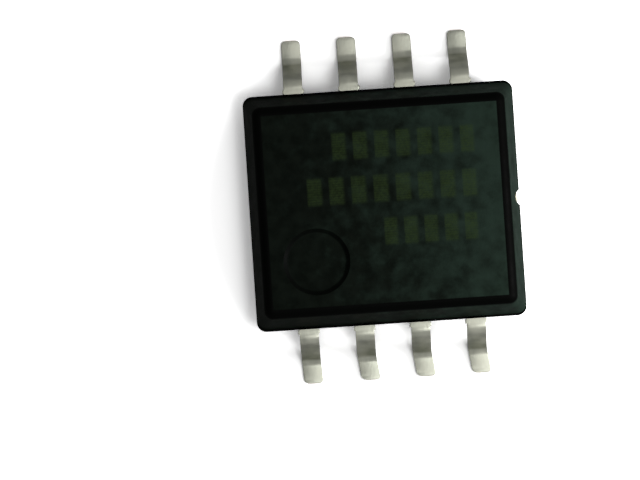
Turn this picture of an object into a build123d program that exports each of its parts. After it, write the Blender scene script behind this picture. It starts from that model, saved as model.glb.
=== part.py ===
from build123d import *
import math
import os

# A small-outline chip with eight gull-wing leads, all sizes in millimetres.
# The origin is on the seating plane, midway between the leads. The rows of leads
# run along X, the leads reach out along Y, and the top face looks up along Z.
# Lead 1 is at the low X end of the low Y row, and the count goes round anticlockwise.

# Moulded body, measured where its walls meet the lead frame
body_length = 6.15
body_width = 5.26
package_height = 1.95
standoff = 0.10
corner_radius = 0.22
end_draft = 15.0
side_draft = 17.0
lower_draft = 10.0
top_edge_radius = 0.20
dam_land = 0.05

# Pin 1 dimple in the top face, and the two ejector marks under the body
dimple_diameter = 1.52
dimple_depth = 0.06
dimple_from_end = 1.46
dimple_from_side = 1.46
dimple_wall_slope = 50.0
ejector_diameter = 1.10
ejector_depth = 0.03
ejector_spacing = 3.20

# Bite of the punch that cut the tie bar at one end of the body
punch_radius = 0.20
punch_bite = 0.10

# Lead frame: eight leads and the die pad, stamped from one strip
lead_pitch = 1.27
leads_per_side = 4
lead_width = 0.435
frame_thickness = 0.15
frame_level = 0.95
shoulder_length = 0.20
leg_angle = 66.0
knee_bend_radius = 0.10
heel_bend_radius = 0.22
foot_length = 0.38
tip_corner_radius = 0.09

# Stubs of the dam bars that joined the leads, left where they were sheared
dam_stub = 0.03
dam_stub_length = 0.10
dam_stub_offset = 0.06

# How far the foot of a lead has been knocked sideways, by lead number, and how far
# the left corner of its tip is worn round
foot_sways = {1: 0.03, 2: 0.08, 3: 0.08, 4: 0.08}
worn_tip_radii = {1: 0.16, 2: 0.16, 3: 0.18, 4: 0.14}

# Inner ends of the leads, wider than their exits so that the moulding holds them
paddle_spacing = 0.53
paddle_ear = 0.12
paddle_length = 0.55
paddle_flare = 0.16
paddle_corner_radius = 0.05
anchor_depth = 0.42
finger_gap = 0.26

# Die pad, set lower than the leads, and the tie bars that hold it at its two ends
pad_length = 2.56
pad_width = 1.88
pad_corner_radius = 0.06
pad_downset = 0.20
jog_angle = 45.0
jog_bend_radius = 0.05
jog_from_pad = 0.05
tie_bar_width = 0.20
tie_bar_stub = 0.04

# Silicon die and the adhesive under it
die_length = 1.52
die_width = 1.30
die_thickness = 0.28
attach_thickness = 0.025
attach_margin = 0.05
attach_corner_radius = 0.08

# Bond wires, each with a ball on the die and a flat stitch on its lead. The section
# of so fine a wire is drawn with flats, as wide across them as the wire is.
wire_diameter = 0.030
wire_flats = 8
wire_rise = 0.20
wire_neck_run = 0.07
wire_neck_drop = 0.05
wire_sag = 0.035
wire_sag_share = 0.50
wire_sink = 0.03
ball_diameter = 0.080
ball_height = 0.024
stitch_length = 0.13
stitch_width = 0.075
stitch_thickness = 0.010
stitch_flare = 80.0
outer_bond_offset = 0.40
inner_bond_offset = 0.30
die_bond_inset = 0.09
lead_bond_inset = 0.17

# Levels worked out from the sizes above
frame_top = frame_level + frame_thickness
pad_bottom = frame_level - pad_downset
pad_top = pad_bottom + frame_thickness
die_bottom = pad_top + attach_thickness
die_top = die_bottom + die_thickness
upper_height = package_height - frame_top
lower_height = frame_level - standoff

# Reaches from the middle of the body: a lead's underside turns down at the knee and
# level again at the heel
half_turn = math.radians(leg_angle / 2)
heel_outer_radius = heel_bend_radius + frame_thickness
knee_reach = body_width / 2 + shoulder_length + knee_bend_radius * math.tan(half_turn)
heel_reach = knee_reach + frame_level / math.tan(math.radians(leg_angle))
tip_reach = heel_reach + heel_outer_radius * math.tan(half_turn) + foot_length
dam_reach = body_width / 2 + dam_stub_offset + dam_stub_length / 2

# Outer leads run on past the ends of the pad and stop beside the tie bars
half_row = lead_pitch * (leads_per_side - 1) / 2
outer_lead_reach = tie_bar_width / 2 + finger_gap
inner_lead_reach = pad_width / 2 + finger_gap
anchor_reach = body_width / 2 - anchor_depth
outer_paddle_edge = max(
    pad_length / 2 + finger_gap,
    half_row - (lead_pitch - paddle_spacing) / 2,
)


def row_sign(number):
    """1 for the leads of the low Y row, -1 for those of the row opposite."""
    return 1 if number <= leads_per_side else -1


def place_in_row(number):
    """Distance of a lead along its row, from the middle of the body."""
    return (number - 1) % leads_per_side * lead_pitch - half_row


def is_outer(number):
    """True for the leads at the two ends of a row."""
    return (number - 1) % leads_per_side in (0, leads_per_side - 1)


def row_plane(number):
    """Plane of a lead's row: X runs along the row and -Y points out of the body."""
    return Plane((0, 0, 0), x_dir=(row_sign(number), 0, 0), z_dir=(0, 0, 1))


def paddle(number):
    """Inner reach, shoulder reach and the two sides of a lead's paddle."""
    x = place_in_row(number)
    if is_outer(number):
        end = math.copysign(1, x)
        near = end * outer_paddle_edge
        far = x + end * (lead_width / 2 + paddle_ear)
        return outer_lead_reach, anchor_reach, min(near, far), max(near, far)
    half_width = (lead_pitch - paddle_spacing) / 2
    shoulder = inner_lead_reach + paddle_length
    return inner_lead_reach, shoulder, x - half_width, x + half_width


def make_lead(number):
    """One lead: a bent strip seen from the side, cut to its blank seen from above."""
    plan = row_plane(number)
    side = Plane(plan.origin, x_dir=-plan.y_dir, z_dir=-plan.x_dir)
    reach, shoulder, low, high = paddle(number)
    strip_start = shoulder + paddle_flare
    left = place_in_row(number) - lead_width / 2
    right = left + lead_width
    sway = foot_sways.get(number, 0)

    with BuildPart() as lead:
        with BuildSketch(side):
            with BuildLine():
                FilletPolyline(
                    (reach, frame_level),
                    (knee_reach, frame_level),
                    (heel_reach, 0),
                    (tip_reach, 0),
                    radius=(knee_bend_radius, heel_outer_radius),
                )
                offset(amount=frame_thickness, side=Side.LEFT)
            make_face()
        extrude(amount=body_length, both=True)

        with BuildSketch(plan) as blank:
            with BuildLine():
                Polyline(
                    (low, -reach),
                    (low, -shoulder),
                    (left, -strip_start),
                    (left, -heel_reach),
                    (left + sway, -tip_reach),
                    (right + sway, -tip_reach),
                    (right, -heel_reach),
                    (right, -strip_start),
                    (high, -shoulder),
                    (high, -reach),
                    close=True,
                )
            make_face()
            paddle_corners = blank.vertices().group_by(Axis.Y)[-1]
            fillet(paddle_corners, paddle_corner_radius)
            left_tip, right_tip = blank.vertices().group_by(Axis.Y)[0].sort_by(Axis.X)
            fillet(left_tip, worn_tip_radii.get(number, tip_corner_radius))
            fillet(right_tip, tip_corner_radius)
            with Locations((place_in_row(number), -dam_reach)):
                Rectangle(lead_width + 2 * dam_stub, dam_stub_length)
        extrude(amount=package_height, mode=Mode.INTERSECT)
    lead.part.label = f"lead_{number}"
    return lead.part


def bond_points(number):
    """Where a wire starts on the die and ends on its lead, in the plane of its row."""
    x = place_in_row(number)
    end = math.copysign(1, x)
    if is_outer(number):
        on_die = (end * (die_length / 2 - die_bond_inset), -outer_bond_offset)
        across = end * (outer_paddle_edge + lead_bond_inset)
        return on_die, (across, -outer_lead_reach - lead_bond_inset)
    on_die = (end * inner_bond_offset, die_bond_inset - die_width / 2)
    return on_die, (x, -inner_lead_reach - lead_bond_inset)


def make_bond_wire(number):
    """One wire: up from its ball, over in a low loop and down to its stitch."""
    on_die, on_lead = bond_points(number)
    start = Vector(*on_die) * row_sign(number)
    end = Vector(*on_lead) * row_sign(number)
    run = end - start
    up = Vector(0, 0, 1)
    upright = Plane(start, x_dir=run, z_dir=run.cross(up))
    on_ball = Plane(start + up * die_top, x_dir=run, z_dir=up)
    on_paddle = Plane(end + up * frame_top, x_dir=run, z_dir=up)
    crown = die_top + wire_rise

    with BuildPart() as wire:
        with BuildLine(upright) as loop:
            Polyline(
                (0, die_top + ball_height / 2),
                (0, crown - wire_neck_drop),
                (wire_neck_run, crown),
                (run.length * wire_sag_share, crown - wire_sag),
                (run.length, frame_top - wire_sink),
            )
        with BuildSketch(loop.line ^ 0):
            RegularPolygon(wire_diameter / 2, wire_flats, major_radius=False)
        sweep(transition=Transition.RIGHT)
        split(bisect_by=Plane.XY.offset(frame_top), keep=Keep.TOP)
        with BuildSketch(on_ball):
            Circle(ball_diameter / 2)
        extrude(amount=ball_height)
        with BuildSketch(on_paddle):
            with Locations((-stitch_length / 2, 0)):
                Trapezoid(stitch_width, stitch_length, stitch_flare, rotation=90)
        extrude(amount=stitch_thickness)
    wire.part.label = f"bond_wire_{number}"
    return wire.part


def drafted(size, height, draft):
    """What is left of a length or width of the body after a wall that leans in."""
    return size - 2 * height * math.tan(math.radians(draft))


os.makedirs("parts", exist_ok=True)
lead_numbers = range(1, 2 * leads_per_side + 1)
leads = [make_lead(number) for number in lead_numbers]
bond_wires = [make_bond_wire(number) for number in lead_numbers]

# Die pad: a plate between two tie bars that step down to it. One bar is sheared
# flush with the body, and the other stands a little proud in the punch's bite.
jog_outer_radius = jog_bend_radius + frame_thickness
jog_tangent = jog_outer_radius * math.tan(math.radians(jog_angle / 2))
jog_foot = pad_length / 2 + jog_from_pad + jog_tangent
jog_head = jog_foot + pad_downset / math.tan(math.radians(jog_angle))
flush_end = -body_length / 2
proud_end = body_length / 2 - punch_bite + tie_bar_stub
with BuildPart() as die_pad:
    with BuildSketch(Plane.XZ):
        with BuildLine():
            FilletPolyline(
                (flush_end, frame_level),
                (-jog_head, frame_level),
                (-jog_foot, pad_bottom),
                (jog_foot, pad_bottom),
                (jog_head, frame_level),
                (proud_end, frame_level),
                radius=(jog_bend_radius, jog_outer_radius, jog_outer_radius, jog_bend_radius),
            )
            offset(amount=frame_thickness, side=Side.LEFT)
        make_face()
    extrude(amount=pad_width, both=True)
    with BuildSketch():
        RectangleRounded(pad_length, pad_width, pad_corner_radius)
        Rectangle(2 * body_length, tie_bar_width)
    extrude(amount=package_height, mode=Mode.INTERSECT)
die_pad.part.label = "die_pad"

# Silver-filled adhesive: a thin film that squeezes out a little past the die
with BuildPart() as die_attach:
    with BuildSketch(Plane.XY.offset(pad_top)):
        RectangleRounded(
            die_length + 2 * attach_margin,
            die_width + 2 * attach_margin,
            attach_corner_radius,
        )
    extrude(amount=attach_thickness)
die_attach.part.label = "die_attach"

# Silicon die, sawn from the wafer with square edges
with BuildPart() as silicon_die:
    with BuildSketch(Plane.XY.offset(die_bottom)):
        Rectangle(die_length, die_width)
    extrude(amount=die_thickness)
silicon_die.part.label = "silicon_die"

inner_pieces = leads + bond_wires + [die_pad.part, die_attach.part, silicon_die.part]

# Moulded body: two drafted halves that meet at a land as thick as the lead frame,
# moulded round everything that they hold
with BuildPart() as moulded_body:
    with BuildSketch(Plane.XY.offset(frame_level)):
        RectangleRounded(body_length, body_width + 2 * dam_land, corner_radius)
    extrude(amount=frame_thickness)

    with BuildSketch(Plane.XY.offset(frame_top)):
        RectangleRounded(body_length, body_width, corner_radius)
    with BuildSketch(Plane.XY.offset(package_height)):
        RectangleRounded(
            drafted(body_length, upper_height, end_draft),
            drafted(body_width, upper_height, side_draft),
            corner_radius,
        )
    loft()
    top_face = moulded_body.faces().sort_by(Axis.Z)[-1]
    fillet(top_face.edges(), top_edge_radius)

    with BuildSketch(Plane.XY.offset(frame_level)):
        RectangleRounded(body_length, body_width, corner_radius)
    with BuildSketch(Plane.XY.offset(standoff)):
        RectangleRounded(
            drafted(body_length, lower_height, lower_draft),
            drafted(body_width, lower_height, lower_draft),
            corner_radius,
        )
    loft()

    with BuildSketch(Plane.XY.offset(package_height)):
        with Locations((dimple_from_end - body_length / 2, dimple_from_side - body_width / 2)):
            Circle(dimple_diameter / 2)
    extrude(amount=-dimple_depth, taper=dimple_wall_slope, mode=Mode.SUBTRACT)

    with BuildSketch(Plane.XY.offset(standoff)):
        with GridLocations(ejector_spacing, 0, 2, 1):
            Circle(ejector_diameter / 2)
    extrude(amount=ejector_depth, mode=Mode.SUBTRACT)

    with BuildSketch():
        with Locations((body_length / 2 - punch_bite + punch_radius, 0)):
            Circle(punch_radius)
    extrude(amount=package_height, mode=Mode.SUBTRACT)

    add(inner_pieces, mode=Mode.SUBTRACT)
moulded_body.part.label = "moulded_body"

for piece in [moulded_body.part] + inner_pieces:
    export_step(piece, f"parts/{piece.label}.step")
print("tip to tip", round(2 * tip_reach, 3))
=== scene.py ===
import math

import bmesh
import bpy
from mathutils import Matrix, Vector


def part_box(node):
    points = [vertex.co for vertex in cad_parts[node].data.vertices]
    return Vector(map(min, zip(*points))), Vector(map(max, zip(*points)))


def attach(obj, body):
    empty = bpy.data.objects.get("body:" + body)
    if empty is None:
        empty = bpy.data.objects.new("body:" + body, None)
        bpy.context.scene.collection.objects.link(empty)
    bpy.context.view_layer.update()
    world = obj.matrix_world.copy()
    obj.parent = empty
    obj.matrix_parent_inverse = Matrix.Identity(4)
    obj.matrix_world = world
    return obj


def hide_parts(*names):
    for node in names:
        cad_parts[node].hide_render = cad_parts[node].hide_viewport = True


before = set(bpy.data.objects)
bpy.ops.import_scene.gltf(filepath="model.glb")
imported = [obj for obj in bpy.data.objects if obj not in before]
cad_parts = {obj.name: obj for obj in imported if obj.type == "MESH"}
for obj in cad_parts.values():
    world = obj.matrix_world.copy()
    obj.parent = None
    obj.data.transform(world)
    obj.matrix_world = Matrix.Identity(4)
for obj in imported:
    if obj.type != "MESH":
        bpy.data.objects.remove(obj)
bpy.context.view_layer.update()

mm = 0.001

# Leads. Each is one strip of copper alloy, stamped with its neighbours, plated with tin
# and bent over a die into a gull wing. Its inner end is a wide paddle that locks in the
# moulding, and its tip and the dam bars at its shoulder were sheared off after plating.
lead_numbers = range(1, 9)
leads_per_side = 4
lead_width = 0.435 * mm
strip_thickness = 0.15 * mm
body_half_width = 2.63 * mm
strip_start_depth = 0.14 * mm
knee_bend_radius = 0.10 * mm
heel_bend_radius = 0.22 * mm
leg_angle = math.radians(66)
foot_length = 0.38 * mm
bend_steps = 14
foot_steps = 4
foot_sways = {1: 0.03 * mm, 2: 0.08 * mm, 3: 0.08 * mm, 4: 0.08 * mm}
ring_digits = 9
anchor_depth = 0.42 * mm
paddle_length = 0.55 * mm
paddle_flare = 0.16 * mm
paddle_corner = 0.05 * mm
paddle_corner_steps = 5
tip_corner = 0.09 * mm
worn_tip_corners = {1: 0.16 * mm, 2: 0.16 * mm, 3: 0.18 * mm, 4: 0.14 * mm}
tip_corner_steps = 8
stamped_edge = 0.04 * mm
stamped_edge_steps = 4
stamped_edge_angle = math.radians(50)
lead_smooth_angle = math.radians(35)
dam_stub = 0.03 * mm
dam_stub_length = 0.10 * mm
dam_stub_from_body = 0.06 * mm
sheared_skin = 0.02 * mm
square_on = 0.9
grain_detail = 3
blotch_detail = 4
blotch_share = 0.11
rough_span = (0.35, 0.65)
tone_span = (0.36, 0.64)

lead_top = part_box("lead_1")[1].z
lead_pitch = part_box("lead_3")[1].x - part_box("lead_2")[1].x
frame_level = lead_top - strip_thickness
frame_middle = frame_level + strip_thickness / 2
strip_start = body_half_width - strip_start_depth
dam_start = body_half_width + dam_stub_from_body
dam_middle = dam_start + dam_stub_length / 2
tip_reach = -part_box("lead_1")[0].y
half_turn = math.tan(leg_angle / 2)
heel_outer_radius = heel_bend_radius + strip_thickness
foot_start = tip_reach - foot_length
heel_reach = foot_start - heel_outer_radius * half_turn
knee_reach = heel_reach - frame_level / math.tan(leg_angle)
knee_start = knee_reach - knee_bend_radius * half_turn


def take(piece):
    """Makes a piece the only one selected, and active."""
    bpy.ops.object.select_all(action="DESELECT")
    piece.select_set(True)
    bpy.context.view_layer.objects.active = piece


def middle(item):
    """The middle of an edge or a face."""
    corners = [v.co for v in item.verts]
    return sum(corners, Vector()) / len(corners)


def pick(kind, wanted):
    """In edit mode, selects only the VERT, EDGE or FACE elements that pass a test."""
    bpy.ops.mesh.select_mode(type=kind)
    bpy.ops.mesh.select_all(action="DESELECT")
    mesh = bpy.context.edit_object.data
    work = bmesh.from_edit_mesh(mesh)
    items = {"VERT": work.verts, "EDGE": work.edges, "FACE": work.faces}[kind]
    for item in items:
        if wanted(item):
            item.select_set(True)
    work.select_flush_mode()
    bmesh.update_edit_mesh(mesh)


def near(value, other, slack=0.001 * mm):
    """True where two lengths are the same."""
    return abs(value - other) < slack


def upright(edge):
    """True for an edge that stands straight up."""
    first, second = (v.co for v in edge.verts)
    return near(first.x, second.x) and near(first.y, second.y)


def extrude(x=0, y=0, z=0):
    """Extrudes what is selected by a straight move."""
    bpy.ops.mesh.extrude_region_move(TRANSFORM_OT_translate={"value": (x, y, z)})


def finish_modifiers(piece):
    """Applies every modifier of a piece, in order."""
    take(piece)
    for modifier in list(piece.modifiers):
        bpy.ops.object.modifier_apply(modifier=modifier.name)


def close_up(piece):
    """Merges a piece's doubles and turns its faces outwards."""
    take(piece)
    bpy.ops.object.mode_set(mode="EDIT")
    bpy.ops.mesh.select_all(action="SELECT")
    bpy.ops.mesh.remove_doubles(threshold=0.00001 * mm)
    bpy.ops.mesh.normals_make_consistent(inside=False)
    bpy.ops.object.mode_set(mode="OBJECT")


def bent_strip():
    """The part of a lead from inside the moulding to its tip, at the middle of the low row."""
    section = (0, -strip_start, frame_middle)
    bpy.ops.object.select_all(action="DESELECT")
    bpy.ops.mesh.primitive_plane_add(size=1, location=section, rotation=(math.pi / 2, 0, 0))
    bpy.ops.object.transform_apply(location=True, rotation=True, scale=True)
    strip = bpy.context.object
    bpy.ops.object.mode_set(mode="EDIT")
    bpy.ops.mesh.select_all(action="SELECT")
    bpy.ops.transform.resize(value=(lead_width, 1, strip_thickness), center_override=section)
    extrude(y=strip_start - dam_start)
    extrude(y=-dam_stub_length)
    extrude(y=dam_start + dam_stub_length - knee_start)
    bpy.ops.mesh.spin(
        steps=bend_steps,
        angle=-leg_angle,
        center=(0, -knee_start, frame_level - knee_bend_radius),
        axis=(1, 0, 0),
    )
    leg_length = (heel_reach - knee_reach) / math.cos(leg_angle)
    leg_length -= (knee_bend_radius + heel_outer_radius) * half_turn
    extrude(y=-leg_length * math.cos(leg_angle), z=-leg_length * math.sin(leg_angle))
    bpy.ops.mesh.spin(
        steps=bend_steps,
        angle=leg_angle,
        center=(0, -foot_start, heel_outer_radius),
        axis=(1, 0, 0),
    )
    for _ in range(foot_steps):
        extrude(y=-foot_length / foot_steps)
    pick("FACE", lambda f: near(middle(f).y, -dam_middle)
         and near(abs(middle(f).x), lead_width / 2))
    bpy.ops.mesh.extrude_region_shrink_fatten(TRANSFORM_OT_shrink_fatten={"value": dam_stub})
    bpy.ops.object.mode_set(mode="OBJECT")
    close_up(strip)
    return strip


def make_lead(number, strip):
    """A lead from its own copy of the strip, with its paddle, tip, sway and place in its row."""
    low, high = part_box(f"lead_{number}")
    far_row = number > leads_per_side
    left, right = (-high.x, -low.x) if far_row else (low.x, high.x)
    inner_reach = low.y if far_row else -high.y
    in_row = (number - 1) % leads_per_side
    outer = in_row in (0, leads_per_side - 1)
    place = (in_row - (leads_per_side - 1) / 2) * lead_pitch
    paddle_end = body_half_width - anchor_depth if outer else inner_reach + paddle_length

    lead = strip.copy()
    lead.data = strip.data.copy()
    lead.name = f"plated_lead_{number}"
    bpy.context.collection.objects.link(lead)
    take(lead)
    bpy.ops.object.mode_set(mode="EDIT")
    bpy.ops.mesh.select_all(action="SELECT")
    bpy.ops.transform.translate(value=(place, 0, 0))
    pick("FACE", lambda f: near(middle(f).y, -strip_start))
    extrude(y=strip_start - paddle_end - paddle_flare)
    extrude(y=paddle_flare)
    wider = (right - left) / lead_width
    bpy.ops.transform.resize(value=(wider, 1, 1), center_override=(place, 0, 0))
    bpy.ops.transform.translate(value=((left + right) / 2 - place, 0, 0))
    extrude(y=paddle_end - inner_reach)
    pick("EDGE", lambda e: near(middle(e).y, -inner_reach) and upright(e))
    bpy.ops.mesh.bevel(offset=paddle_corner, segments=paddle_corner_steps, affect="EDGES")
    for side, rounding in ((-1, worn_tip_corners.get(number, tip_corner)), (1, tip_corner)):
        pick("EDGE", lambda e: near(middle(e).y, -tip_reach) and upright(e)
             and (middle(e).x - place) * side > 0)
        bpy.ops.mesh.bevel(offset=rounding, segments=tip_corner_steps, affect="EDGES")
    if number in foot_sways:
        work = bmesh.from_edit_mesh(lead.data)
        rings = {round(v.co.y, ring_digits) for v in work.verts if v.co.y < -heel_reach}
        for ring in sorted(rings):
            share = (-ring - heel_reach) / (tip_reach - heel_reach)
            pick("VERT", lambda v: near(v.co.y, ring, 10 ** -ring_digits))
            bpy.ops.transform.translate(value=(foot_sways[number] * share, 0, 0))
    bpy.ops.object.mode_set(mode="OBJECT")
    if far_row:
        lead.rotation_euler.z = math.pi
        bpy.ops.object.transform_apply(location=True, rotation=True, scale=True)

    bevel = lead.modifiers.new("stamped edges", "BEVEL")
    bevel.width = stamped_edge
    bevel.segments = stamped_edge_steps
    bevel.limit_method = "ANGLE"
    bevel.angle_limit = stamped_edge_angle
    finish_modifiers(lead)
    bpy.ops.object.shade_smooth_by_angle(angle=lead_smooth_angle)
    return lead


def new_material(name):
    """A node material with only its Principled shader and its output."""
    material = bpy.data.materials.new(name)
    material.use_nodes = True
    return material


def shader_sockets(material):
    """The inputs of a material's Principled shader."""
    return material.node_tree.nodes["Principled BSDF"].inputs


def fade(tree, value, start, end, low=0.0, high=1.0, smooth=False):
    """What goes from low to high while a value goes from start to end."""
    span = tree.nodes.new("ShaderNodeMapRange")
    if smooth:
        span.interpolation_type = "SMOOTHSTEP"
    span.inputs["From Min"].default_value = start
    span.inputs["From Max"].default_value = end
    span.inputs["To Min"].default_value = low
    span.inputs["To Max"].default_value = high
    tree.links.new(value, span.inputs["Value"])
    return span.outputs["Result"]


def noise(tree, place, per_metre, detail):
    """Noise at a place; its scale is a number or a socket."""
    cloud = tree.nodes.new("ShaderNodeTexNoise")
    cloud.inputs["Detail"].default_value = detail
    tree.links.new(place, cloud.inputs["Vector"])
    if isinstance(per_metre, (int, float)):
        cloud.inputs["Scale"].default_value = per_metre
    else:
        tree.links.new(per_metre, cloud.inputs["Scale"])
    return cloud.outputs["Fac"]


def surface_grain():
    """A node group for fine grain and wider blotches, stretched along the axes as asked."""
    group = bpy.data.node_groups.new("surface_grain", "ShaderNodeTree")
    sockets = group.interface
    sockets.new_socket("Grains per metre", in_out="INPUT", socket_type="NodeSocketFloat")
    sockets.new_socket("Stretch", in_out="INPUT", socket_type="NodeSocketVector")
    sockets.new_socket("Grain", in_out="OUTPUT", socket_type="NodeSocketFloat")
    sockets.new_socket("Blotches", in_out="OUTPUT", socket_type="NodeSocketFloat")
    add, link = group.nodes.new, group.links.new
    given = add("NodeGroupInput").outputs
    spot = add("ShaderNodeTexCoord")
    stretched = add("ShaderNodeMapping")
    link(spot.outputs["Object"], stretched.inputs["Vector"])
    link(given["Stretch"], stretched.inputs["Scale"])
    blotches_per_metre = add("ShaderNodeMath")
    blotches_per_metre.operation = "MULTIPLY"
    blotches_per_metre.inputs[1].default_value = blotch_share
    link(given["Grains per metre"], blotches_per_metre.inputs[0])
    place = stretched.outputs["Vector"]
    result = add("NodeGroupOutput").inputs
    link(noise(group, place, given["Grains per metre"], grain_detail), result["Grain"])
    blotches = noise(group, place, blotches_per_metre.outputs["Value"], blotch_detail)
    link(blotches, result["Blotches"])
    return group


grain_group = surface_grain()


def grained_material(name, per_metre, stretch, depth, roughness, tones, metallic=0.0):
    """A material whose blotches vary its colour and roughness, and whose grain is its bump."""
    material = new_material(name)
    tree = material.node_tree
    shader = shader_sockets(material)
    grain = tree.nodes.new("ShaderNodeGroup")
    grain.node_tree = grain_group
    grain.inputs["Grains per metre"].default_value = per_metre
    grain.inputs["Stretch"].default_value = stretch
    blotches = grain.outputs["Blotches"]
    bump = tree.nodes.new("ShaderNodeBump")
    bump.inputs["Distance"].default_value = depth
    tree.links.new(grain.outputs["Grain"], bump.inputs["Height"])
    tree.links.new(bump.outputs["Normal"], shader["Normal"])
    tree.links.new(fade(tree, blotches, *rough_span, *roughness), shader["Roughness"])
    colour = tree.nodes.new("ShaderNodeValToRGB")
    colour.name = "grain colour"
    for stop, place, tone in zip(colour.color_ramp.elements, tone_span, tones):
        stop.position = place
        stop.color = (*tone, 1)
    tree.links.new(blotches, colour.inputs["Fac"])
    tree.links.new(colour.outputs["Color"], shader["Base Color"])
    shader["Metallic"].default_value = metallic
    return material


tin = grained_material(
    "matte_tin",
    per_metre=26000,
    stretch=(1, 0.35, 1),
    depth=0.003 * mm,
    roughness=(0.34, 0.50),
    tones=((0.36, 0.37, 0.31), (0.50, 0.505, 0.425)),
    metallic=1,
)
sheared_copper = grained_material(
    "sheared_copper",
    per_metre=40000,
    stretch=(1, 1, 0.1),
    depth=0.004 * mm,
    roughness=(0.30, 0.45),
    tones=((0.50, 0.33, 0.23), (0.66, 0.48, 0.36)),
    metallic=1,
)

strip = bent_strip()
for number in lead_numbers:
    lead = make_lead(number, strip)
    lead.data.materials.append(tin)
    lead.data.materials.append(sheared_copper)
    for face in lead.data.polygons:
        reach = abs(face.center.y)
        at_tip = reach > tip_reach - sheared_skin and abs(face.normal.y) > square_on
        at_dam = near(reach, dam_middle, dam_stub_length) and abs(face.normal.x) > square_on
        face.material_index = at_tip or at_dam
    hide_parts(f"lead_{number}")
    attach(lead, "root")
bpy.data.objects.remove(strip)

# Die pad. It is the middle of the same copper stamping as the leads, pressed down a step,
# and its two tie bars held it in the frame until they were sheared at the ends of the
# moulding, where the plating was smeared over the cut.
plated_end = 2.90 * mm
plating_edge = 0.03 * mm
smeared_tone = (0.62, 0.58, 0.44)


def object_place(tree):
    """The place of a point on the piece, and its X, Y and Z."""
    place = tree.nodes.new("ShaderNodeTexCoord").outputs["Object"]
    axes = tree.nodes.new("ShaderNodeSeparateXYZ")
    tree.links.new(place, axes.inputs["Vector"])
    return place, *axes.outputs


def combine(tree, operation, *values):
    """What a Math node makes of sockets and numbers."""
    node = tree.nodes.new("ShaderNodeMath")
    node.operation = operation
    for socket, value in zip(node.inputs, values):
        if isinstance(value, (int, float)):
            socket.default_value = value
        else:
            tree.links.new(value, socket)
    return node.outputs["Value"]


def blend_colours(tree, mask, first, second):
    """The first colour where a mask is 0 and the second where it is 1: tones or sockets."""
    blend = tree.nodes.new("ShaderNodeMix")
    blend.data_type = "RGBA"
    tree.links.new(mask, blend.inputs["Factor"])
    for socket, colour in ((blend.inputs["A"], first), (blend.inputs["B"], second)):
        if isinstance(colour, tuple):
            socket.default_value = (*colour, 1)
        else:
            tree.links.new(colour, socket)
    return blend.outputs["Result"]


def grain_colour(material):
    """The colour that the grain gives a material."""
    return material.node_tree.nodes["grain colour"].outputs["Color"]


def dress(name, material):
    """Gives a CAD piece a material in place of its plain one."""
    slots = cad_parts[name].data.materials
    slots.clear()
    slots.append(material)


copper = grained_material(
    "copper_alloy",
    per_metre=20000,
    stretch=(0.12, 1, 1),
    depth=0.002 * mm,
    roughness=(0.28, 0.42),
    tones=((0.58, 0.30, 0.18), (0.72, 0.42, 0.28)),
    metallic=1,
)
tree = copper.node_tree
place, x, y, z = object_place(tree)
at_end = fade(tree, combine(tree, "ABSOLUTE", x), plated_end, plated_end + plating_edge)
pad_colour = blend_colours(tree, at_end, grain_colour(copper), smeared_tone)
tree.links.new(pad_colour, shader_sockets(copper)["Base Color"])
dress("die_pad", copper)

# Die attach. It is a film of silver-filled epoxy adhesive that was squeezed out between
# the die and the pad and cured.
adhesive = grained_material(
    "silver_adhesive",
    per_metre=60000,
    stretch=(1, 1, 1),
    depth=0.004 * mm,
    roughness=(0.35, 0.60),
    tones=((0.40, 0.41, 0.42), (0.66, 0.67, 0.68)),
    metallic=0.8,
)
dress("die_attach", adhesive)

# Die. It is a square-edged piece sawn out of a wafer of silicon, bedded in the adhesive,
# with its circuit made in and on the upper face as rows of cells between metal tracks.
circuit_depth = 0.005 * mm
cell_length = 0.07 * mm
track_share = 0.06
cell_tones = ((0.16, 0.12, 0.22), (0.09, 0.15, 0.17))
track_tone = (0.55, 0.50, 0.42)
silicon = grained_material(
    "silicon",
    per_metre=30000,
    stretch=(1, 1, 1),
    depth=0.0004 * mm,
    roughness=(0.10, 0.20),
    tones=((0.10, 0.11, 0.14), (0.17, 0.18, 0.22)),
    metallic=0.6,
)
tree = silicon.node_tree
place, x, y, z = object_place(tree)
cells = tree.nodes.new("ShaderNodeTexBrick")
cells.inputs["Scale"].default_value = 1 / cell_length
cells.inputs["Mortar Size"].default_value = track_share
cells.inputs["Color1"].default_value = (*cell_tones[0], 1)
cells.inputs["Color2"].default_value = (*cell_tones[1], 1)
cells.inputs["Mortar"].default_value = (*track_tone, 1)
tree.links.new(place, cells.inputs["Vector"])
on_top = combine(tree, "GREATER_THAN", z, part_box("silicon_die")[1].z - circuit_depth)
die_colour = blend_colours(tree, on_top, grain_colour(silicon), cells.outputs["Color"])
tree.links.new(die_colour, shader_sockets(silicon)["Base Color"])
dress("silicon_die", silicon)

# Bond wires. Each is a drawn gold wire, welded to the die by its melted ball and to the
# paddle of a lead by a press of the tool.
gold = grained_material(
    "gold_wire",
    per_metre=90000,
    stretch=(1, 1, 1),
    depth=0.0006 * mm,
    roughness=(0.16, 0.28),
    tones=((0.88, 0.62, 0.26), (1.0, 0.77, 0.38)),
    metallic=1,
)
for number in lead_numbers:
    dress(f"bond_wire_{number}", gold)

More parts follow.
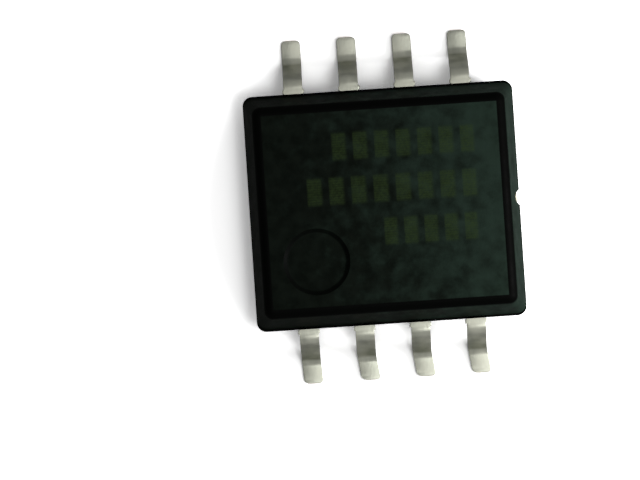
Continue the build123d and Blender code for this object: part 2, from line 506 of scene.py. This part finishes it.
# Moulded body. It is one shot of black filled epoxy, moulded round the frame, die and
# wires in two drafted halves that meet at the leads, and marked by the pins that push it
# out of the mould and by the punch that sheared the frame at one end.
body_low, body_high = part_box("moulded_body")
land_size = Vector((body_high.x - body_low.x, body_high.y - body_low.y, strip_thickness))
land_step = 0.004 * mm
corner_radius = 0.22 * mm
corner_steps = 10
end_draft = math.radians(15)
side_draft = math.radians(17)
lower_draft = math.radians(10)
top_edge_radius = 0.20 * mm
top_edge = top_edge_radius * math.tan((math.pi / 2 - end_draft) / 2)
top_edge_steps = 10
bottom_edge = 0.03 * mm
bottom_edge_steps = 3
dimple_from_sides = 1.46 * mm
dimple_radius = 0.80 * mm
dimple_floor = 0.64 * mm
dimple_depth = 0.06 * mm
dimple_steps = 10
ejector_spacing = 3.20 * mm
ejector_radius = 0.56 * mm
ejector_floor = 0.53 * mm
ejector_depth = 0.03 * mm
ejector_steps = 4
cutter_lift = 0.01 * mm
round_sides = 96
punch_radius = 0.20 * mm
punch_bite = 0.10 * mm
body_smooth_angle = math.radians(30)


def mould_half(level, height, draft_x, draft_y):
    """Draws one half of the moulding out of the land at the leads, upwards or downwards."""
    side = math.copysign(1, height)
    centre = (0, 0, level)
    length = land_size.x - 2 * land_step
    width = 2 * body_half_width
    pick("FACE", lambda f: f.normal.z * side > square_on)
    extrude()
    stepped_in = (length / land_size.x, width / land_size.y, 1)
    bpy.ops.transform.resize(value=stepped_in, center_override=centre)
    extrude(z=height)
    shorter = 1 - 2 * abs(height) * math.tan(draft_x) / length
    narrower = 1 - 2 * abs(height) * math.tan(draft_y) / width
    bpy.ops.transform.resize(value=(shorter, narrower, 1), center_override=centre)


def cut_out(piece, tool):
    """Cuts a closed tool out of a piece."""
    cut = piece.modifiers.new("cut", "BOOLEAN")
    cut.operation = "DIFFERENCE"
    cut.object = tool
    finish_modifiers(piece)
    bpy.data.objects.remove(tool)


def sunken_mark(piece, spot, rim, floor_radius, depth, steps):
    """Cuts a round mark with a soft rim: up from below where its depth is negative."""
    start = math.copysign(cutter_lift, depth)
    fall = depth + start
    radius, level = rim, start
    bpy.ops.object.select_all(action="DESELECT")
    bpy.ops.mesh.primitive_circle_add(
        vertices=round_sides,
        radius=rim,
        fill_type="NGON",
        location=spot,
    )
    plug = bpy.context.object
    bpy.ops.object.transform_apply(location=True, rotation=True, scale=True)
    bpy.ops.object.mode_set(mode="EDIT")
    bpy.ops.mesh.select_all(action="SELECT")
    bpy.ops.transform.translate(value=(0, 0, level))
    for step in range(1, steps + 1):
        share = step / steps
        new_radius = rim + (floor_radius - rim) * share
        new_level = start - fall * (1 - math.cos(math.pi * share)) / 2
        extrude(z=new_level - level)
        narrower = new_radius / radius
        bpy.ops.transform.resize(value=(narrower, narrower, 1), center_override=spot)
        radius, level = new_radius, new_level
    bpy.ops.object.mode_set(mode="OBJECT")
    close_up(plug)
    cut_out(piece, plug)


def close_round(piece, node):
    """Cuts a copy of a CAD piece out of the moulding. An end that is flush is pushed out first."""
    filling = node.copy()
    filling.data = node.data.copy()
    bpy.context.collection.objects.link(filling)
    filling.hide_viewport = False
    filling.hide_set(False)
    close_up(filling)
    bpy.ops.object.mode_set(mode="EDIT")
    pick("VERT", lambda v: near(v.co.x, body_low.x))
    bpy.ops.transform.translate(value=(-cutter_lift, 0, 0))
    bpy.ops.object.mode_set(mode="OBJECT")
    cut_out(piece, filling)


# The land at the level of the leads comes first, and the halves are drawn out of it.
centre = (0, 0, frame_middle)
bpy.ops.object.select_all(action="DESELECT")
bpy.ops.mesh.primitive_cube_add(size=1, location=centre)
bpy.ops.object.transform_apply(location=True, rotation=True, scale=True)
body = bpy.context.object
body.name = "epoxy_moulding"
bpy.ops.object.mode_set(mode="EDIT")
bpy.ops.mesh.select_all(action="SELECT")
bpy.ops.transform.resize(value=land_size, center_override=centre)
pick("EDGE", upright)
bpy.ops.mesh.bevel(offset=corner_radius, segments=corner_steps, affect="EDGES")
mould_half(lead_top, body_high.z - lead_top, end_draft, side_draft)
mould_half(frame_level, body_low.z - frame_level, lower_draft, lower_draft)
for level, rounding, steps in (
    (body_high.z, top_edge, top_edge_steps),
    (body_low.z, bottom_edge, bottom_edge_steps),
):
    pick("EDGE", lambda e: all(near(v.co.z, level) for v in e.verts))
    bpy.ops.mesh.bevel(offset=rounding, segments=steps, affect="EDGES")
bpy.ops.object.mode_set(mode="OBJECT")

# The dimple at pin 1 is in the top, and the ejector pins' marks are underneath.
dimple_x = body_low.x + dimple_from_sides
dimple_y = -body_half_width + dimple_from_sides
dimple = Vector((dimple_x, dimple_y, body_high.z))
sunken_mark(body, dimple, dimple_radius, dimple_floor, dimple_depth, dimple_steps)
for x in (-ejector_spacing / 2, ejector_spacing / 2):
    ejector = Vector((x, 0, body_low.z))
    sunken_mark(body, ejector, ejector_radius, ejector_floor, -ejector_depth, ejector_steps)

# The punch's bite comes out, and then the room of each piece that the epoxy closed round.
bpy.ops.object.select_all(action="DESELECT")
bpy.ops.mesh.primitive_cylinder_add(
    vertices=round_sides,
    radius=punch_radius,
    depth=2 * body_high.z,
    location=(body_high.x - punch_bite + punch_radius, 0, body_high.z / 2),
)
cut_out(body, bpy.context.object)
for name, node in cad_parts.items():
    if name != "moulded_body":
        close_round(body, node)

# The cutters leave their own normals in the mesh, which would darken the corners.
take(body)
bpy.ops.mesh.customdata_custom_splitnormals_clear()
bpy.ops.object.shade_smooth_by_angle(angle=body_smooth_angle)
weighted = body.modifiers.new("level faces", "WEIGHTED_NORMAL")
weighted.keep_sharp = True
finish_modifiers(body)

# The epoxy is paler in random patches and, as a painted sheen, steadily towards the right; its
# rounded rim and the dimple's slope are darkened with painted shade. A laser burnt plain rows of
# marks into the top, line by line.
block_height = 0.60 * mm
block_share = 0.66
block_rows = (
    (-1.12 * mm, 2.12 * mm, 1.40 * mm, 7),
    (-1.74 * mm, 2.12 * mm, 0.40 * mm, 8),
    (-0.05 * mm, 2.08 * mm, -0.58 * mm, 5),
)
worn_edge = 0.10 * mm
mark_depth = 0.01 * mm
scan_pitch = 0.055 * mm
scan_half_share = 0.32
between_scans = 0.75
flecks_per_metre = 16000
fleck_detail = 3
fleck_span = (0.35, 0.62)
mark_strength = (0.34, 0.62)
patches_per_metre = 3200
patch_detail = 4
patch_strength = 1.3
sheen_slope_along = 0.16 / mm
sheen_slope_across = 0.03 / mm
patches_and_sheen_offset = -0.20
patches_and_sheen_span = (0.15, 1.10)
rim_width = 0.02 * mm
slope_span = (0.90, 0.995)
colour_left_on_slope = 0.25
wall_span = (0.58, 0.42)
# The paler tone of the random patches and of the painted sheen towards the right.
patches_and_sheen_tone = (0.0125, 0.0225, 0.0165)
marked_tone = (0.020, 0.034, 0.010)
# Near black of the painted shade on the rounded rim and on the dimple's slope.
rim_shade_tone = (0.0004, 0.0006, 0.0004)
epoxy_shine = 0.025


def soft_span(value, centre, half_width, edge):
    """A mask that is 1 near a centre value and fades out over the given edge."""
    away = combine(tree, "ABSOLUTE", combine(tree, "SUBTRACT", value, centre))
    return fade(tree, away, half_width + edge / 2, half_width - edge / 2, smooth=True)


def marked_row(left, right, level, blocks):
    """The mask of a row of plain laser-marked blocks with worn edges."""
    pitch = (right - left) / (blocks - 1 + block_share)
    along = combine(tree, "MULTIPLY", combine(tree, "SUBTRACT", x, left), 1 / pitch)
    in_pitch = combine(tree, "FRACT", along)
    in_block = soft_span(in_pitch, block_share / 2, block_share / 2, worn_edge / pitch)
    in_length = soft_span(x, (left + right) / 2, (right - left) / 2, worn_edge)
    in_height = soft_span(y, level, block_height / 2, worn_edge)
    return combine(tree, "MULTIPLY", in_block, combine(tree, "MULTIPLY", in_length, in_height))


epoxy = grained_material(
    "black_epoxy",
    per_metre=32000,
    stretch=(1, 1, 1),
    depth=0.003 * mm,
    roughness=(0.48, 0.60),
    tones=((0.0014, 0.0026, 0.0015), (0.0036, 0.0056, 0.0038)),
)
shader_sockets(epoxy)["Specular IOR Level"].default_value = epoxy_shine
tree = epoxy.node_tree
place, x, y, z = object_place(tree)

# Painted sheen: besides random patches, the epoxy's colour grows paler steadily towards the right
# and a little across its width.
patches_and_sheen = combine(tree, "MULTIPLY", noise(tree, place, patches_per_metre, patch_detail), patch_strength)
for axis, slope in ((x, sheen_slope_along), (y, sheen_slope_across)):
    patches_and_sheen = combine(tree, "ADD", patches_and_sheen, combine(tree, "MULTIPLY", axis, slope))
patches_and_sheen_mask = fade(tree, combine(tree, "ADD", patches_and_sheen, patches_and_sheen_offset), *patches_and_sheen_span, smooth=True)
patches_and_sheen_colour = blend_colours(tree, patches_and_sheen_mask, grain_colour(epoxy), patches_and_sheen_tone)

marks = combine(tree, "COMPARE", z, body_high.z, mark_depth)
in_rows = marked_row(*block_rows[0])
for row in block_rows[1:]:
    in_rows = combine(tree, "MAXIMUM", in_rows, marked_row(*row))
scans = combine(tree, "FRACT", combine(tree, "MULTIPLY", y, 1 / scan_pitch))
scans = combine(tree, "COMPARE", scans, 0.5, scan_half_share)
scans = combine(tree, "ADD", combine(tree, "MULTIPLY", scans, 1 - between_scans), between_scans)
flecks = noise(tree, place, flecks_per_metre, fleck_detail)
left_over = fade(tree, flecks, *fleck_span, *mark_strength)
for mask in (in_rows, scans, left_over):
    marks = combine(tree, "MULTIPLY", marks, mask)
marked_colour = blend_colours(tree, marks, patches_and_sheen_colour, marked_tone)

upper_height = body_high.z - lead_top
face_half_length = body_high.x - land_step - upper_height * math.tan(end_draft) - top_edge
face_half_width = body_half_width - upper_height * math.tan(side_draft) - top_edge
lean = tree.nodes.new("ShaderNodeNewGeometry")
lean_axes = tree.nodes.new("ShaderNodeSeparateXYZ")
tree.links.new(lean.outputs["Normal"], lean_axes.inputs["Vector"])
facing_up = lean_axes.outputs["Z"]
on_face = combine(
    tree,
    "MULTIPLY",
    soft_span(x, 0, face_half_length - rim_width, rim_width),
    soft_span(y, 0, face_half_width - rim_width, rim_width),
)
# Painted shade: the rounded rim between the top face and the walls goes near black, and the
# dimple's slope three quarters of the way to it.
slope_unshaded_share = fade(tree, facing_up, *slope_span, low=colour_left_on_slope)
wall_part = fade(tree, facing_up, *wall_span)
outside_painted_shade = combine(tree, "MAXIMUM", combine(tree, "MULTIPLY", on_face, slope_unshaded_share), wall_part)
epoxy_colour = blend_colours(tree, outside_painted_shade, rim_shade_tone, marked_colour)
tree.links.new(epoxy_colour, shader_sockets(epoxy)["Base Color"])
body.data.materials.clear()
body.data.materials.append(epoxy)
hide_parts("moulded_body")
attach(body, "root")

# Surface that the chip lies on. It is plain white card, much larger than the view. It looks
# pure white away from the chip, as on a cut-out, and near it keeps the chip's soft shadow.
# To the light it is an ordinary card, and a darker one where metal mirrors it.
card_size = 2000 * mm
card_roughness = 0.9
card_tone = 0.7
mirrored_tone = 0.36
shadow_reach = 4.0 * mm
white_reach = 9.0 * mm
seen_near = 2.0
seen_far = 9.0


def blend_values(tree, mask, first, second):
    """The first value where a mask is 0 and the second where it is 1: numbers or sockets."""
    blend = tree.nodes.new("ShaderNodeMix")
    blend.data_type = "FLOAT"
    tree.links.new(mask, blend.inputs["Factor"])
    for socket, value in ((blend.inputs["A"], first), (blend.inputs["B"], second)):
        if isinstance(value, float):
            socket.default_value = value
        else:
            tree.links.new(value, socket)
    return blend.outputs["Result"]


bpy.ops.object.select_all(action="DESELECT")
bpy.ops.mesh.primitive_plane_add(size=card_size)
floor = bpy.context.object
floor.name = "floor"
card = new_material("white_card")
shader_sockets(card)["Roughness"].default_value = card_roughness
shader_sockets(card)["Specular IOR Level"].default_value = 0
tree = card.node_tree
spot = tree.nodes.new("ShaderNodeTexCoord")
distance = tree.nodes.new("ShaderNodeVectorMath")
distance.operation = "LENGTH"
tree.links.new(spot.outputs["Object"], distance.inputs[0])
seen = fade(tree, distance.outputs["Value"], shadow_reach, white_reach, seen_near, seen_far)
rays = tree.nodes.new("ShaderNodeLightPath").outputs
mirrored = combine(tree, "MAXIMUM", rays["Is Glossy Ray"], rays["Is Transmission Ray"])
lit = blend_values(tree, mirrored, card_tone, mirrored_tone)
whiteness = blend_values(tree, rays["Is Camera Ray"], lit, seen)
tree.links.new(whiteness, shader_sockets(card)["Base Color"])
floor.data.materials.append(card)

# Light. The chip lies in a plain room that is brighter towards the right and the near side,
# with a large soft box high overhead and a small soft panel near the right-hand end.
ceiling_way = Vector((0.10, -0.25, 1))
ceiling_span = (0.10, 0.97)
ceiling_levels = (0.55, 0.42)
bright_way = Vector((0.93, -0.37, 0))
side_levels = (0.40, 1.60)
world = bpy.data.worlds.new("room")
bpy.context.scene.world = world
world.use_nodes = True
tree = world.node_tree
look = tree.nodes.new("ShaderNodeTexCoord")
backdrop = tree.nodes["Background"].inputs


def toward(way):
    """How far a look into the room goes a given way, from -1 to 1."""
    share = tree.nodes.new("ShaderNodeVectorMath")
    share.operation = "DOT_PRODUCT"
    share.inputs[1].default_value = way.normalized()
    tree.links.new(look.outputs["Generated"], share.inputs[0])
    return share.outputs["Value"]


ceiling = tree.nodes.new("ShaderNodeValToRGB")
for stop, height, level in zip(ceiling.color_ramp.elements, ceiling_span, ceiling_levels):
    stop.position = height
    stop.color = (level, level, level, 1)
tree.links.new(toward(ceiling_way), ceiling.inputs["Fac"])
tree.links.new(ceiling.outputs["Color"], backdrop["Color"])
tree.links.new(fade(tree, toward(bright_way), -1, 1, *side_levels), backdrop["Strength"])


def soft_light(name, place, size, power):
    """A square soft light that faces the chip, of a power in watts."""
    light_data = bpy.data.lights.new(name, "AREA")
    light_data.size = size
    light_data.energy = power
    light = bpy.data.objects.new(name, light_data)
    bpy.context.collection.objects.link(light)
    light.location = place
    light.rotation_euler = (-light.location).to_track_quat("-Z", "Y").to_euler()


soft_light("overhead_box", place=Vector((26, -20, 116)) * mm, size=34 * mm, power=0.028)
soft_light("side_panel", place=Vector((12, -3, 9)) * mm, size=5 * mm, power=0.0015)

# Camera. It looks almost straight down from 13 centimetres. The chip lies a little above and
# to the right of the middle of the view, and is turned a little anticlockwise in it.
image_width = 640
pixels_per_mm = 43.95
view_distance = 130 * mm
turn = math.radians(3.8)
lean_along = math.radians(0.3)
lean_across = math.radians(0.6)
aim = Vector((-1.517, -0.672, 1.1)) * mm
nearest_seen = 10 * mm
farthest_seen = 2000 * mm
camera_data = bpy.data.cameras.new("camera")
camera = bpy.data.objects.new("camera", camera_data)
bpy.context.collection.objects.link(camera)
bpy.context.scene.camera = camera
camera_data.lens = camera_data.sensor_width * view_distance * pixels_per_mm / mm / image_width
camera_data.clip_start = nearest_seen
camera_data.clip_end = farthest_seen
back = Vector((math.tan(lean_along), -math.tan(lean_across), 1)).normalized()
across = Vector((math.sin(turn), math.cos(turn), 0)).cross(back).normalized()
upward = back.cross(across)
matrix = camera.matrix_world.copy()
for row in range(3):
    matrix[row][0] = across[row]
    matrix[row][1] = upward[row]
    matrix[row][2] = back[row]
    matrix[row][3] = aim[row] + back[row] * view_distance
camera.matrix_world = matrix

bpy.context.scene.view_settings.view_transform = "Standard"
